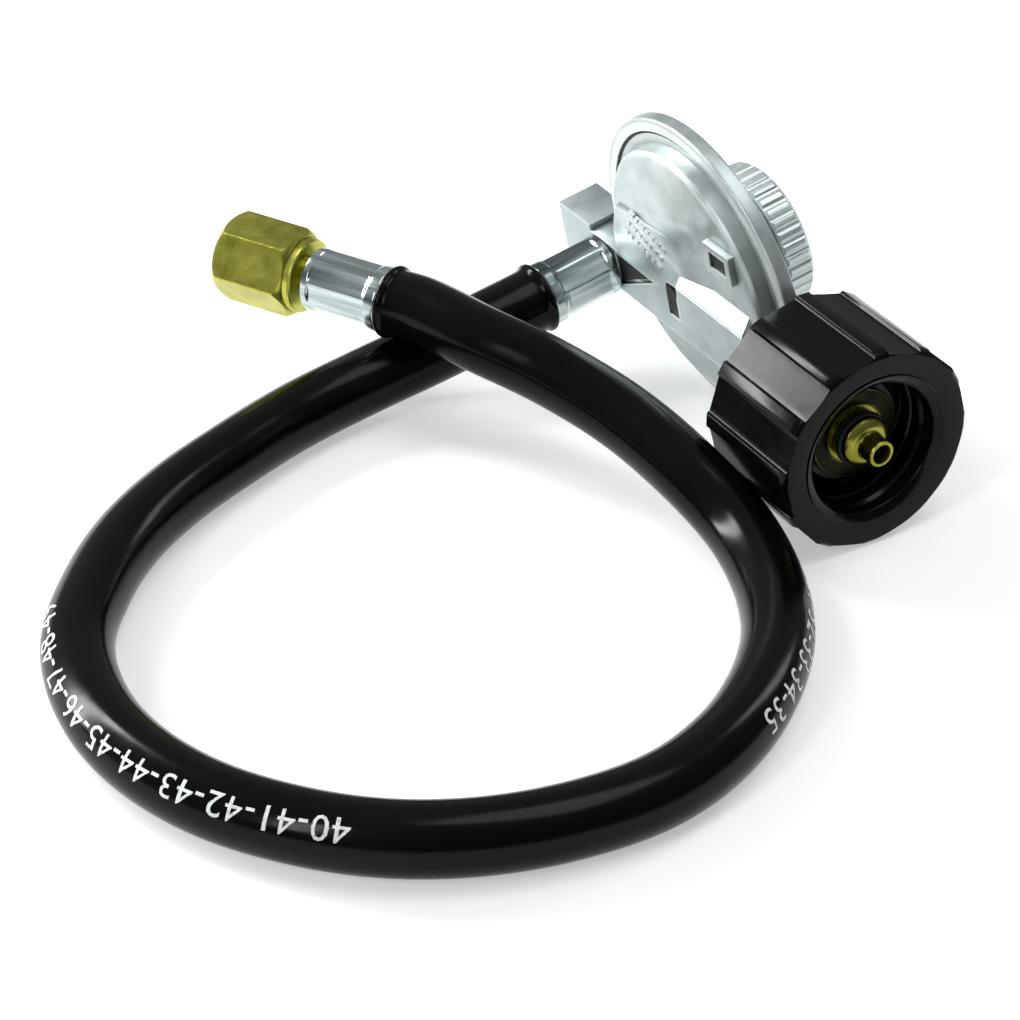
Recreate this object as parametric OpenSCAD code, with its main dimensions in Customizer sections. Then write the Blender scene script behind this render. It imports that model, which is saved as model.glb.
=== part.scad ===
/* [Coupling wheel] */
// Diameter over the grip ribs of the hand wheel
wheel_d = 50; // [48:0.5:52]
// Length of the hand wheel along the inlet
wheel_len = 30.6; // [29.6:0.2:33]
// Number of grip ribs round the hand wheel
wheel_ribs = 12; // [10:1:14]
// Diameter of the threaded opening in the hand wheel
wheel_thread_d = 32.4; // [31:0.2:33]
// How far the wheel can creep back when its heat bushing softens
bushing_travel = 1.9; // [1:0.1:2]

/* [Regulator] */
// Diameter over the crimped rim of the diaphragm housing
rim_d = 75.4; // [74:0.2:77]
// Lean of the diaphragm housing when the regulator lies down, in degrees
lean = 11.5; // [10:0.5:13]
// Height of the square gas spine that crosses the housing
spine_h = 12; // [11:0.5:13]
// Distance of the spine's far end past the middle of the housing
spine_end = 52; // [49:0.5:55]
// Distance of the outlet past the middle of the housing
outlet_y = 33.5; // [32:0.25:35]
// Diameter over the closing cap's grip ribs
cap_d = 35.6; // [34.6:0.2:38]

/* [Hose] */
// Outside diameter of the hose
hose_d = 15.9; // [15:0.1:16]
// Diameter of the crimped steel ferrules
ferrule_d = 15.2; // [14.5:0.1:16]
// Length of the ferrule at the flare nut
ferrule_len = 20.5; // [18:0.5:23]

/* [Flare nut] */
// Size across the flats of the brass flare nut
nut_af = 19; // [18.5:0.1:20]
// Length of the brass flare nut
nut_len = 21.5; // [20:0.5:24]
// Diameter of the flare nut's threaded bore
nut_thread_d = 14.6; // [14:0.1:15]

/* [Hidden] */
$fn = 96;

// radial running clearance of a turning or sliding fit
run = 0.06;
// small face gap between parts that only touch
gap = 0.05;
// radial slack of a pressed or crimped seat
seat_fit = 0.02;

// Colours
zinc = [0.80, 0.82, 0.83];
steel = [0.72, 0.74, 0.75];
brass = [0.72, 0.66, 0.28];
black = [0.05, 0.05, 0.06];

// The regulator's own frame: X along the diaphragm's axis towards the cap,
// Y along the inlet's axis away from the wheel, Z up, origin on the inlet's axis.
// The wheel and the leaning rim both rest on the floor.
wheel_r = wheel_d/2;
rib_half = 3.7;
axis_h = wheel_r*cos(rib_half);
rim_r = rim_d/2;
rim_back = 2.3;
rim_front = 6.1;
rim_chamfer = 0.5;
disc_z = rim_r - (axis_h + (rim_back + rim_chamfer)*sin(lean))/cos(lean);

// Places along the inlet's axis, measured from the middle of the housing
rim_clear = 2.8;
boss_in = 3.8;
hex_len = 1.5;
wheel_hollow = 13.5;
web_t = 3.5;
bushing_head = 3.2;
ring_t = 1.7;
nose_len = 4.6;
tip_proud = 1.8;
wheel_back = -rim_r - rim_clear;
wheel_front = wheel_back - wheel_len;
boss_end = wheel_back - boss_in;
hex_end = boss_end - hex_len;
flange_back = wheel_back - wheel_hollow;
flange_front = flange_back - web_t;
shank_end = flange_front - bushing_head;
ring_front = shank_end - ring_t;
nose_end = ring_front - nose_len;
tip_end = wheel_front - tip_proud;

// Diaphragm housing, along X
flange_back_x = 2.8;
joint_x = 3.9;
diaphragm_t = 0.6;
diaphragm_r = rim_r - 3;
flange_front_x = 5.6;
pocket_floor = 0;
shell_back = -1.6;
land_x = 2;
spine_face = -4.5;
spine_half = spine_h/2;

// Valve
valve_x = -0.5;
plug_r = 2.6;
orifice_tip = 7.95;
seat_gap = 0.23;
pin_x = 1.8;
pin_y = 12;

// Adjuster and cap, along X
seat_x = 14.3;
seat_t = 1;
screw_t = 3.5;
cap_wall = 2.6;
neck_r = cap_d/2 - cap_wall;
neck_end = 20.9;
cap_front = 23.2;
spring_bore_r = neck_r - 3.4;
spring_r = 8;
spring_wire_r = 0.65;
spring_turns = 3.5;

// Outlet ferrule
outlet_mouth_x = -23;
outlet_z = -1.2;
outlet_stem_r = 3.2;

// Free end of the hose: middle of the ferrule's mouth and the heading of its axis
free_mouth = [-61.5, 36.9, 28];
free_heading = 118;
free_dir = [cos(free_heading), sin(free_heading), 0];
nut_gap = 2;
nut_back = ferrule_len + nut_gap;
collar_r = 9;
collar_len = 2;
nut_wall = 5;
nut_turn = 26;
stem_neck_r = 4.8;

// Centres the regulator, without its hose end, over the origin
shift_y = (-tip_end - spine_end)/2;

// A point of the regulator's own frame, as it lies
function placed(p) = [
    p[0]*cos(lean) - p[2]*sin(lean),
    p[1],
    axis_h + p[0]*sin(lean) + p[2]*cos(lean)
];
outlet_mouth = placed([outlet_mouth_x, outlet_y, outlet_z]);
outlet_dir = [-cos(lean), 0, -sin(lean)];
lead = 9;

// The hose's route from the regulator, round its loop and up over itself
hose_route = concat(
    [outlet_mouth, outlet_mouth + lead*outlet_dir],
    [
        [-51, 34.5, 13], [-70.5, 35, 9.5], [-90.5, 32, 8], [-110, 25, 8],
        [-128.5, 17, 8], [-145.5, 6.5, 8], [-160, -7, 8], [-172.5, -23.5, 8],
        [-179, -42.5, 8], [-180, -62.5, 8], [-175, -82.5, 8], [-165, -99.5, 8],
        [-151, -114, 8], [-134, -124, 8], [-114.5, -129.5, 8], [-94, -130, 8],
        [-74.5, -123.5, 8], [-57.5, -112, 8], [-44, -97.5, 8], [-34.8, -80, 8.5],
        [-30.4, -61.5, 10.7], [-32, -43.5, 15.75], [-35.3, -22.6, 19.6], [-42.5, -3.5, 23.5],
        [-52, 14, 27]
    ],
    [free_mouth - lead*free_dir, free_mouth]
);
hose_sides = 12;

function unit(v) = v/norm(v);
function heading(p, i, first, last) =
    i == 0 ? first :
    i == len(p) - 1 ? last :
    unit(unit(p[i] - p[i - 1]) + unit(p[i + 1] - p[i]));
function ring(c, t, up, r, sides) =
    let (a = unit(cross(t, up)), b = cross(a, t))
    [for (k = [0:sides - 1]) c + r*(cos(360*k/sides)*a + sin(360*k/sides)*b)];

// A closed tube along the points p, with square ends that face the given ways
module tube(p, r, first, last, up, sides) {
    n = len(p);
    points = [for (i = [0:n - 1]) each ring(p[i], heading(p, i, first, last), up, r, sides)];
    side_faces = [
        for (i = [0:n - 2], k = [0:sides - 1])
            let (a = i*sides + k, b = i*sides + (k + 1)%sides)
            each [[a, b, b + sides], [a, b + sides, a + sides]]
    ];
    start = [for (k = [sides - 1:-1:0]) k];
    finish = [for (k = [0:sides - 1]) (n - 1)*sides + k];
    polyhedron(points, concat([start], side_faces, [finish]), convexity = 6);
}

// Frames
module centred() {
    translate([0, shift_y, 0]) children();
}
module regulator() {
    centred() translate([0, 0, axis_h]) rotate([0, -lean, 0]) children();
}
module free_end() {
    centred() translate(free_mouth) rotate([0, 0, free_heading]) children();
}

// Round and conical pieces along X or Y
module along_x(x0, x1, r, r2 = -1, y = 0, z = 0, sides = 96) {
    translate([x0, y, z]) rotate([0, 90, 0])
        cylinder(h = x1 - x0, r1 = r, r2 = r2 < 0 ? r : r2, $fn = sides);
}
module along_y(y0, y1, r, r2 = -1, x = 0, z = 0, sides = 96) {
    translate([x, y0, z]) rotate([-90, 0, 0])
        cylinder(h = y1 - y0, r1 = r, r2 = r2 < 0 ? r : r2, $fn = sides);
}
module box(low, high) {
    translate(low) cube(high - low);
}
// An outline of X and Z, carried along Y
module spine_section(outline, y0, y1) {
    translate([0, y1, 0]) rotate([90, 0, 0]) linear_extrude(y1 - y0) polygon(outline);
}
// A profile of radius and length, turned about X, and one about the diaphragm's axis
module turned_x(profile) {
    rotate([0, 90, 0]) rotate_extrude() polygon(profile);
}
module turned_x_at(profile) {
    translate([0, 0, disc_z]) turned_x(profile);
}

// Housing
lip_w = 3.4;
lip_r = rim_r - lip_w;
shell_r = lip_r - 3.3;
facet_h = 12;
facet_tilt = 17;
facet_y0 = 4 - shell_r;
facet_y1 = shell_r - 5;
block_x = 6.5;
block_rise = 1.5;
lug_y = -19;
lug_z = 25.3;
lug_face = -3.3;
lug_wall = 1.7;
recess_w = 6.6;
recess_h = 4.4;
recess_floor = -2.4;
port_r = 1.8;
port_end = -1.4;
boss_r = 10.5;
block_gap = 0.7;
boss_back = -rim_r - block_gap;
pin_r = 0.8;
trough_end = 24;
trough_gap = 0.05;
ear_gap = 2.95;
spigot_r = 6.5;
spigot_end = boss_back - 0.6;
orifice_r = 2;
orifice_back = 1;
passage_r = 2.2;
outlet_spigot_r = 3.5;
plug_hole_r = 3;

module housing_shell() {
    along_x(flange_back_x, joint_x + diaphragm_t/2, rim_r - 1, z = disc_z);
    turned_x_at([
        [0, shell_back], [shell_r - 2, shell_back], [shell_r - 0.9, shell_back + 0.4],
        [shell_r - 0.2, shell_back + 1.2], [shell_r, shell_back + 2.2],
        [shell_r + 0.6, flange_back_x + 0.2], [0, flange_back_x + 0.2]
    ]);
}
// Square spine, with a sloping facet over it that runs into the shell
module spine() {
    rise = (shell_back - spine_face)/facet_h;
    difference() {
        box([spine_face, facet_y0, -spine_half], [land_x, facet_y1, 19]);
        translate([0, 4, spine_half]) rotate([facet_tilt, 0, 0])
            spine_section([
                [spine_face - 1, -1/rise], [spine_face + 30*rise, 30], [spine_face - 1, 30]
            ], -60, 60);
    }
    box([spine_face, facet_y1 - 1, -spine_half], [land_x, spine_end, spine_half]);
    box([spine_face + 1, boss_back, -spine_half + 0.5], [land_x, facet_y0 + 1, spine_half - 0.5]);
    box([spine_face, rim_r + block_gap, block_rise - spine_half],
        [block_x, spine_end, block_rise + spine_half]);
}
module lug() {
    w = recess_w/2 + lug_wall;
    h = recess_h/2 + lug_wall;
    box([lug_face, lug_y - w, lug_z - h], [0, lug_y + w, lug_z + h]);
}
module pocket() {
    difference() {
        union() {
            along_x(pocket_floor, 2.3, shell_r - 5, z = disc_z);
            along_x(2.2, joint_x, shell_r - 0.5, z = disc_z);
            along_x(joint_x, joint_x + 1, diaphragm_r + gap, z = disc_z);
        }
        box([spine_face, -rim_r, -spine_half], [land_x, trough_end + 4, spine_half]);
        for (side = [-1, 1])
            box([spine_face, pin_y - 1.4, side > 0 ? ear_gap : -spine_half],
                [pin_x + 1.4, pin_y + 1.4, side > 0 ? spine_half : -ear_gap]);
    }
}
module valve_trough() {
    half = plug_r + trough_gap;
    box([valve_x, orifice_tip - 0.95, -half], [land_x + 2, trough_end, half]);
    along_y(orifice_tip - 0.95, trough_end, half, x = valve_x);
    along_y(trough_end - 1, outlet_y + passage_r, passage_r, x = valve_x);
}
// Three-cornered recess between the outlet and the spine's upper edge
module outlet_recess() {
    translate([spine_face - 1, outlet_y, 0]) rotate([90, 0, 90])
        linear_extrude(2)
            polygon([[-6, spine_half - 0.8], [-23, spine_half - 1], [-6, -spine_half + 1.6]]);
}
module body() {
    color(zinc) regulator() difference() {
        union() {
            housing_shell();
            spine();
            lug();
            along_y(boss_end, boss_back, boss_r);
        }
        pocket();
        valve_trough();
        along_y(boss_end - 1, spigot_end + seat_fit, spigot_r + seat_fit);
        along_y(spigot_end - 1, orifice_back + 1, 1.5, x = valve_x);
        along_y(orifice_back, orifice_tip, orifice_r, x = valve_x);
        along_y(outlet_y, spine_end + 1, passage_r, x = valve_x);
        along_y(spine_end - 4, spine_end + 1, plug_hole_r, x = valve_x);
        along_x(spine_face - 1, valve_x, outlet_spigot_r + seat_fit, y = outlet_y, z = outlet_z);
        box([lug_face - 1, lug_y - recess_w/2, lug_z - recess_h/2],
            [recess_floor, lug_y + recess_w/2, lug_z + recess_h/2]);
        along_x(lug_face, port_end, port_r, y = lug_y, z = lug_z);
        box([spine_face - 1, 1, -1], [spine_face + 1.2, 5.4, spine_half + 2]);
        outlet_recess();
        translate([pin_x, pin_y, -spine_half - 1]) cylinder(h = spine_h + 2, r = pin_r);
    }
}
module port_plug() {
    color(steel) regulator() difference() {
        along_x(recess_floor, port_end, port_r, y = lug_y, z = lug_z);
        along_x(recess_floor - 1, recess_floor + 0.5, 1, y = lug_y, z = lug_z, sides = 6);
    }
}
module passage_plug() {
    color(steel) regulator() difference() {
        along_y(spine_end - 4, spine_end - 0.3, plug_hole_r, x = valve_x);
        along_y(spine_end - 2, spine_end + 1, 2, x = valve_x);
    }
}

// Bonnet, vent and crimped rim
dome_end = 12.5;
dome_r = shell_r + 0.5;
dome_top_r = neck_r + 5.8;
vent_y = dome_r - 10.5;
vent_z = -13;
cavity_r = dome_r - 4;
module bonnet() {
    cavity = joint_x + diaphragm_t;
    color(zinc) regulator() difference() {
        union() {
            along_x(joint_x + diaphragm_t/2, flange_front_x, rim_r - 1, z = disc_z);
            along_x(flange_front_x, dome_end, dome_r, dome_top_r, z = disc_z);
            along_x(dome_end - 0.1, dome_end + 2, dome_top_r, neck_r + 1.4, z = disc_z);
            along_x(dome_end, neck_end, neck_r, z = disc_z);
            along_x(7, dome_end + 0.5, 3.6, y = vent_y, z = disc_z + vent_z);
        }
        along_x(joint_x, cavity, diaphragm_r + gap, z = disc_z);
        along_x(cavity - 0.01, 6, cavity_r, z = disc_z);
        along_x(5.99, dome_end - 1.5, cavity_r, neck_r - 0.2, z = disc_z);
        along_x(dome_end - 2, neck_end + 1, spring_bore_r, z = disc_z);
        along_x(5.5, dome_end - 0.5, 1.2, y = vent_y, z = disc_z + vent_z);
        along_x(dome_end - 1, dome_end + 1, 2.4, y = vent_y, z = disc_z + vent_z);
    }
}
module vent_screen() {
    color(steel) regulator()
        along_x(dome_end - 1, dome_end - 0.6, 2.4, y = vent_y, z = disc_z + vent_z);
}
module crimp_ring() {
    color(zinc) regulator() difference() {
        turned_x_at([
            [lip_r, rim_back], [rim_r - rim_chamfer, rim_back], [rim_r, rim_back + rim_chamfer],
            [rim_r, rim_front - rim_chamfer], [rim_r - rim_chamfer, rim_front], [lip_r, rim_front]
        ]);
        along_x(flange_back_x - seat_fit, flange_front_x + seat_fit, rim_r - 1 + seat_fit, z = disc_z);
    }
}

// Diaphragm, plate and spring
stem_r = 2.4;
neck_slot_r = 1;
plate_rim = 9;
plate_r = spring_r + plate_rim;
plate_boss_r = 5;
stem_head_r = 3.6;
module diaphragm() {
    color(black) regulator() difference() {
        along_x(joint_x, joint_x + diaphragm_t, diaphragm_r, z = disc_z);
        along_x(joint_x - 1, joint_x + 2, stem_r + 0.03, z = disc_z);
    }
}
module diaphragm_plate() {
    top = joint_x + diaphragm_t;
    color(steel) regulator() {
        along_x(top, top + 0.8, plate_r, z = disc_z);
        along_x(top + 0.7, top + 3, plate_boss_r, z = disc_z);
        along_x(joint_x - 0.4, top + 0.1, stem_r, z = disc_z);
        along_x(joint_x - 0.4, joint_x, stem_head_r, z = disc_z);
        along_x(joint_x - 1.8, joint_x - 0.3, neck_slot_r, z = disc_z);
        along_x(joint_x - 2.4, joint_x - 1.7, 2, z = disc_z);
    }
}
module main_spring() {
    low = joint_x + diaphragm_t + 0.8 + spring_wire_r + gap;
    high = seat_x - spring_wire_r - gap;
    steps = 49;
    path = [for (i = [0:steps])
        [low + (high - low)*i/steps,
         spring_r*cos(360*spring_turns*i/steps),
         disc_z + spring_r*sin(360*spring_turns*i/steps)]];
    color(steel) regulator()
        tube(path, spring_wire_r, [0, 0, 1], [0, 0, 1], [1, 0, 0], 8);
}
module spring_seat() {
    color(steel) regulator() {
        along_x(seat_x, seat_x + seat_t, spring_bore_r - 1.3, z = disc_z);
        along_x(seat_x - 3, seat_x + 0.1, spring_r - spring_wire_r - 0.95, z = disc_z);
    }
}
module adjusting_screw() {
    x0 = seat_x + seat_t;
    color(steel) regulator() difference() {
        along_x(x0, x0 + screw_t, spring_bore_r - run, z = disc_z);
        along_x(x0 + 0.6, x0 + screw_t + 1, 5, z = disc_z, sides = 6);
    }
}

// Closing cap
cap_ribs = 36;
cap_back = 15.5;
cap_top = neck_end + 0.75;
function cap_outline(r) = [
    for (i = [0:cap_ribs - 1], k = [0:3])
        let (a = 360*(i + k/4)/cap_ribs, s = k < 2 ? r : r - 0.6)
        [s*cos(a), s*sin(a)]
];
module closing_cap() {
    r = cap_d/2;
    color(zinc) regulator() difference() {
        intersection() {
            translate([cap_back, 0, disc_z]) rotate([0, 90, 0])
                linear_extrude(cap_front - cap_back) polygon(cap_outline(r));
            translate([0, 0, disc_z]) turned_x([
                [0, cap_back - 1], [r - 0.8, cap_back - 1], [r - 0.8, cap_back], [r, cap_back + 0.8],
                [r, cap_front - 1.4], [r - 1.4, cap_front], [0, cap_front]
            ]);
        }
        along_x(cap_back - 1, cap_top, neck_r + run, z = disc_z);
        along_x(cap_front - 0.6, cap_front + 1, spring_bore_r + 0.2, z = disc_z);
    }
}
module cap_gasket() {
    color(black) regulator() difference() {
        along_x(neck_end, cap_top, neck_r, z = disc_z);
        along_x(neck_end - 1, cap_top + 1, spring_bore_r, z = disc_z);
    }
}

// Lever and valve
hub_half = plug_r;
arm_low = joint_x - 1.35;
arm_high = joint_x - 0.75;
slot_half = 0.8;
hub_r = 1.45;
hub_gap = 0.3;
finger_half = 0.6;
finger_tip = valve_x - 1;
module lever_pin() {
    color(steel) regulator()
        translate([pin_x, pin_y, -spine_half]) cylinder(h = spine_h, r = pin_r);
}
module valve_lever() {
    color(steel) regulator() difference() {
        union() {
            translate([pin_x, pin_y, -hub_half]) cylinder(h = 2*hub_half, r = hub_r);
            box([finger_tip, pin_y - finger_half, -1.3], [pin_x, pin_y + finger_half, 1.3]);
            box([arm_low, 7.4, -hub_half], [arm_high, pin_y, hub_half]);
            box([arm_low, 7.4, -hub_half], [arm_high, 10.2, disc_z + 2.2]);
            box([arm_low, -2.5, disc_z - 2.2], [arm_high, 10.2, disc_z + 2.2]);
        }
        translate([pin_x, pin_y, -spine_half]) cylinder(h = spine_h, r = pin_r + run);
        translate([0, 0, disc_z]) rotate([0, 90, 0]) cylinder(h = 6, r = neck_slot_r + 0.25);
        box([0, -4, disc_z - neck_slot_r - 0.25], [6, 0, disc_z + neck_slot_r + 0.25]);
    }
}
module valve_plug() {
    front = orifice_tip + seat_gap + 0.3;
    color(brass) regulator() difference() {
        along_y(front, 15, plug_r, x = valve_x);
        along_y(front - 1, front + 0.7, 1.9, x = valve_x);
        box([finger_tip - 0.4, pin_y - slot_half, -plug_r - 1], [4, pin_y + slot_half, plug_r + 1]);
        box([pin_x - hub_r - hub_gap, pin_y - hub_r - 0.5, -plug_r - 1],
            [4, pin_y + hub_r + 0.5, plug_r + 1]);
    }
}
module seat_disc() {
    front = orifice_tip + seat_gap;
    color(black) regulator() along_y(front, front + 1, 1.9, x = valve_x);
}
module inlet_orifice() {
    color(brass) regulator() difference() {
        union() {
            along_y(orifice_back, orifice_tip - 1, orifice_r, x = valve_x);
            along_y(orifice_tip - 1, orifice_tip, 1.6, 1, x = valve_x);
        }
        along_y(orifice_back - 1, orifice_tip + 1, 0.45, x = valve_x);
    }
}

// Inlet nipple and its fittings
shank_r = 7.5;
step_r = shank_r - 0.5;
ring_w = 3.5;
sleeve_w = 2.4;
hex_w = 2.9;
ring_r = shank_r + ring_w;
sleeve_r = shank_r + sleeve_w;
nose_r = 6;
tip_r = 3.2;
tip_bore_r = 2.3;
chamber_r = 3.2;
chamber_front = ring_front - 2.2;
chamber_back = chamber_front + 9;
groove_r = 4.7;
groove_y = ring_front - 2.45;
module inlet_nipple() {
    color(brass) regulator() difference() {
        union() {
            along_y(boss_end, spigot_end, spigot_r);
            along_y(hex_end, boss_end, shank_r + hex_w, sides = 6);
            along_y(shank_end, hex_end, shank_r);
            along_y(ring_front, shank_end, step_r);
            along_y(nose_end, ring_front, nose_r);
            along_y(nose_end - 1.4, nose_end, tip_r + 1.2, nose_r);
            along_y(tip_end + 0.5, nose_end - 1, tip_r);
            along_y(tip_end, tip_end + 0.5, tip_r - 0.5, tip_r);
        }
        difference() {
            along_y(groove_y - 0.95, groove_y + 0.95, nose_r + 1);
            along_y(groove_y - 2, groove_y + 2, groove_r);
        }
        along_y(tip_end - 1, chamber_front + 1, tip_bore_r);
        along_y(chamber_front, chamber_back, chamber_r);
        along_y(chamber_back - 1, spigot_end + 1, 1.5);
    }
}
module nipple_seal() {
    color(black) regulator() translate([0, groove_y, 0]) rotate([90, 0, 0])
        rotate_extrude() translate([groove_r + 0.95, 0]) circle(r = 0.94, $fn = 24);
}
module retaining_ring() {
    color(brass) regulator() difference() {
        along_y(ring_front, shank_end - gap, ring_r);
        along_y(ring_front - 1, shank_end + 1, step_r);
    }
}
module thermal_bushing() {
    back = hex_end - bushing_travel - 0.1;
    color(black) regulator() difference() {
        union() {
            along_y(shank_end, flange_front - gap, ring_r + 1.2);
            along_y(flange_front - 0.5, back, sleeve_r);
        }
        along_y(shank_end - 1, back + 1, shank_r + run);
    }
}
module flow_poppet() {
    color(brass) regulator() difference() {
        union() {
            along_y(chamber_front + 0.4, chamber_front + 4.4, chamber_r - run);
            along_y(chamber_front + 4.4, chamber_front + 6.6, 1.4, 0.7);
        }
        for (turn = [0:120:240])
            rotate([0, turn, 0]) box([2.3, chamber_front - 1, -3], [4, chamber_back, 3]);
    }
}
module flow_spring() {
    low = chamber_front + 4.4 + 0.35;
    high = chamber_back - 0.35;
    turns = 4;
    steps = 12*turns;
    path = [for (i = [0:steps])
        [2.3*cos(360*turns*i/steps), low + (high - low)*i/steps, 2.3*sin(360*turns*i/steps)]];
    color(steel) regulator() tube(path, 0.28, [0, 0, 1], [0, 0, 1], [0, 1, 0], 6);
}

// Hand wheel: flat-topped grip ribs with slightly hollow panels between them
rib_edge = [-rib_half - 0.7, -rib_half, rib_half, rib_half + 0.7];
rib_drop = [0.9, 0, 0, 0.9];
panel_edge = [9, 15, 21];
panel_drop = [1.25, 1.4, 1.25];
function wheel_outline(r) =
    let (pitch = 360/wheel_ribs, angle = concat(rib_edge, panel_edge*pitch/30),
         drop = concat(rib_drop, panel_drop))
    [for (i = [0:wheel_ribs - 1], k = [0:len(angle) - 1])
        let (a = i*pitch + angle[k] - 90 - lean, s = r - drop[k])
        [s*cos(a), s*sin(a)]];
module coupling_nut() {
    thread_r = wheel_thread_d/2;
    color(black) regulator() difference() {
        intersection() {
            translate([0, wheel_back, 0]) rotate([90, 0, 0])
                linear_extrude(wheel_len) polygon(wheel_outline(wheel_r));
            rotate([90, 0, 0]) rotate_extrude() polygon([
                [0, -wheel_back], [wheel_r - 0.5, -wheel_back], [wheel_r, -wheel_back + 0.5],
                [wheel_r, -wheel_front - 2.2], [wheel_r - 0.7, -wheel_front - 0.6],
                [wheel_r - 1.5, -wheel_front], [0, -wheel_front]
            ]);
        }
        along_y(wheel_front - 1, flange_front, thread_r);
        along_y(wheel_front - 1, wheel_front + 1.2, thread_r + 2.4, thread_r);
        along_y(flange_front - 1, flange_back + 1, sleeve_r + run);
        along_y(flange_back, wheel_back + 1, boss_r + 3);
    }
}

// Outlet barb and its ferrule
flat_count = 8;
// A crimped ferrule from x0 to x1 with long flats and a plain lip at each end
module crimped(x0, x1, bore_r, lip) {
    r = ferrule_d/2;
    difference() {
        union() {
            intersection() {
                along_x(x0, x1, r);
                along_x(x0, x1, (r - 0.35)/cos(180/flat_count), sides = flat_count);
            }
            along_x(x0, x0 + 1.6, r);
            along_x(x1 - 1.6, x1, r);
            along_x(lip < 0 ? x0 : x1 - 2.6, lip < 0 ? x0 + 2.6 : x1, lip < 0 ? r + 0.3 : r, lip < 0 ? r : r + 0.3);
        }
        along_x(x0 - 1, x1 + 1, bore_r);
    }
}
module outlet_ferrule() {
    color(steel) regulator() translate([0, outlet_y, outlet_z])
        crimped(outlet_mouth_x, spine_face - 0.3, outlet_stem_r, -1);
}
module outlet_barb() {
    color(steel) regulator() difference() {
        union() {
            along_x(spine_face, valve_x - 1, outlet_spigot_r, y = outlet_y, z = outlet_z);
            along_x(outlet_mouth_x, spine_face, outlet_stem_r, y = outlet_y, z = outlet_z);
        }
        along_x(outlet_mouth_x - 1, 1, 2.2, y = outlet_y, z = outlet_z);
    }
}

// Hose
module hose() {
    color(black) centred()
        tube(hose_route, hose_d/2, outlet_dir, free_dir, [0, 0, 1], hose_sides);
}

// Flare end
seat_start = nut_back + nut_wall;
module flare_ferrule() {
    color(steel) free_end() crimped(0, ferrule_len, outlet_stem_r, -1);
}
module flare_stem() {
    color(brass) free_end() difference() {
        union() {
            along_x(0, ferrule_len, outlet_stem_r);
            along_x(ferrule_len, seat_start + 0.1, stem_neck_r);
            along_x(seat_start + 0.06, seat_start + 2, nut_thread_d/2 - 0.2);
            along_x(seat_start + 2, seat_start + 5.4, nut_thread_d/2 - 0.2, 3.7);
        }
        along_x(-1, seat_start + 6, 2.4);
    }
}
module flare_nut() {
    corner = nut_af/2/cos(30);
    bore = nut_thread_d/2;
    front = nut_back + nut_len;
    hex_back = nut_back + collar_len;
    color(brass) free_end() difference() {
        union() {
            intersection() {
                rotate([nut_turn, 0, 0]) along_x(hex_back, front, corner, sides = 6);
                turned_x([
                    [0, hex_back], [corner - 1.8, hex_back], [corner, hex_back + 1.6],
                    [corner, front - 1.6], [corner - 1.8, front], [0, front]
                ]);
            }
            turned_x([
                [0, nut_back], [collar_r - 0.6, nut_back], [collar_r, nut_back + 0.6],
                [collar_r, hex_back + 1], [0, hex_back + 1]
            ]);
        }
        along_x(nut_back - 1, front + 1, stem_neck_r + run);
        along_x(seat_start, seat_start + 5.6, bore + 0.2);
        along_x(seat_start + 5.5, front + 1, bore);
        along_x(front - 1, front + 0.01, bore, bore + 1);
    }
}

body();
bonnet();
crimp_ring();
vent_screen();
port_plug();
passage_plug();
diaphragm();
diaphragm_plate();
main_spring();
spring_seat();
adjusting_screw();
closing_cap();
cap_gasket();
valve_lever();
lever_pin();
valve_plug();
seat_disc();
inlet_orifice();
inlet_nipple();
nipple_seal();
retaining_ring();
thermal_bushing();
coupling_nut();
flow_poppet();
flow_spring();
outlet_barb();
outlet_ferrule();
hose();
flare_ferrule();
flare_stem();
flare_nut();
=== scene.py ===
# %% [markdown]
# # A propane regulator and its hose
#
# A low pressure gas regulator for a caravan or a camper: a black hand wheel screws
# it to the cylinder, a cast zinc housing holds the diaphragm, and a short rubber
# hose ends in a brass flare nut. The moving parts and all sizes come from the packed
# model, which is loaded first and never moved. Everything made here lies over it,
# in metres, and rides on one of its bodies.

# %% Load the fixed model
import math

import bmesh
import bpy
from mathutils import Matrix, Vector


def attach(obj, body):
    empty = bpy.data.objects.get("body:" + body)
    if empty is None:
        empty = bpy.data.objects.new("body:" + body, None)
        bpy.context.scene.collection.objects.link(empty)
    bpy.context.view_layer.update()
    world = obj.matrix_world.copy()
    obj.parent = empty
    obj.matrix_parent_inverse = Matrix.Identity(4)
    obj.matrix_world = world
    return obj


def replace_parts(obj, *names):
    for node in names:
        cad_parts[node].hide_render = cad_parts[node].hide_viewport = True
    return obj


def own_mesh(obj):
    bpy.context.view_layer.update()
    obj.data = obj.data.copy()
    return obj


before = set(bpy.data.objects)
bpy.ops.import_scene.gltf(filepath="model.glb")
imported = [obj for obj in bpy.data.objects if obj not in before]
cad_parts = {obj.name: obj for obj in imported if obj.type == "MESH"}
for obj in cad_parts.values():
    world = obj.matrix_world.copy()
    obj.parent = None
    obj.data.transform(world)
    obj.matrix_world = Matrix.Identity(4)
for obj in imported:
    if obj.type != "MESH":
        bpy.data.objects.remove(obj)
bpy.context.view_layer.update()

# %% [markdown]
# ## The camera
#
# A long lens a good way off keeps the wheel and the housing in calm proportion. The
# camera looks down by a third of a right angle, from the front and a little left.

# %% Camera
scene = bpy.context.scene
camera_data = bpy.data.cameras.new("camera")
camera_data.lens = 132.4
camera_data.sensor_width = 36
camera_data.clip_start = 0.01
camera = bpy.data.objects.new("camera", camera_data)
camera.location = (-0.4306, -0.61355, 0.4675)
camera.rotation_euler = Vector((0.4339, 0.7138, -0.5497)).to_track_quat("-Z", "Y").to_euler()
scene.collection.objects.link(camera)
scene.camera = camera
scene.view_settings.view_transform = "Standard"
print("camera", tuple(round(c, 4) for c in camera.location))

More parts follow.
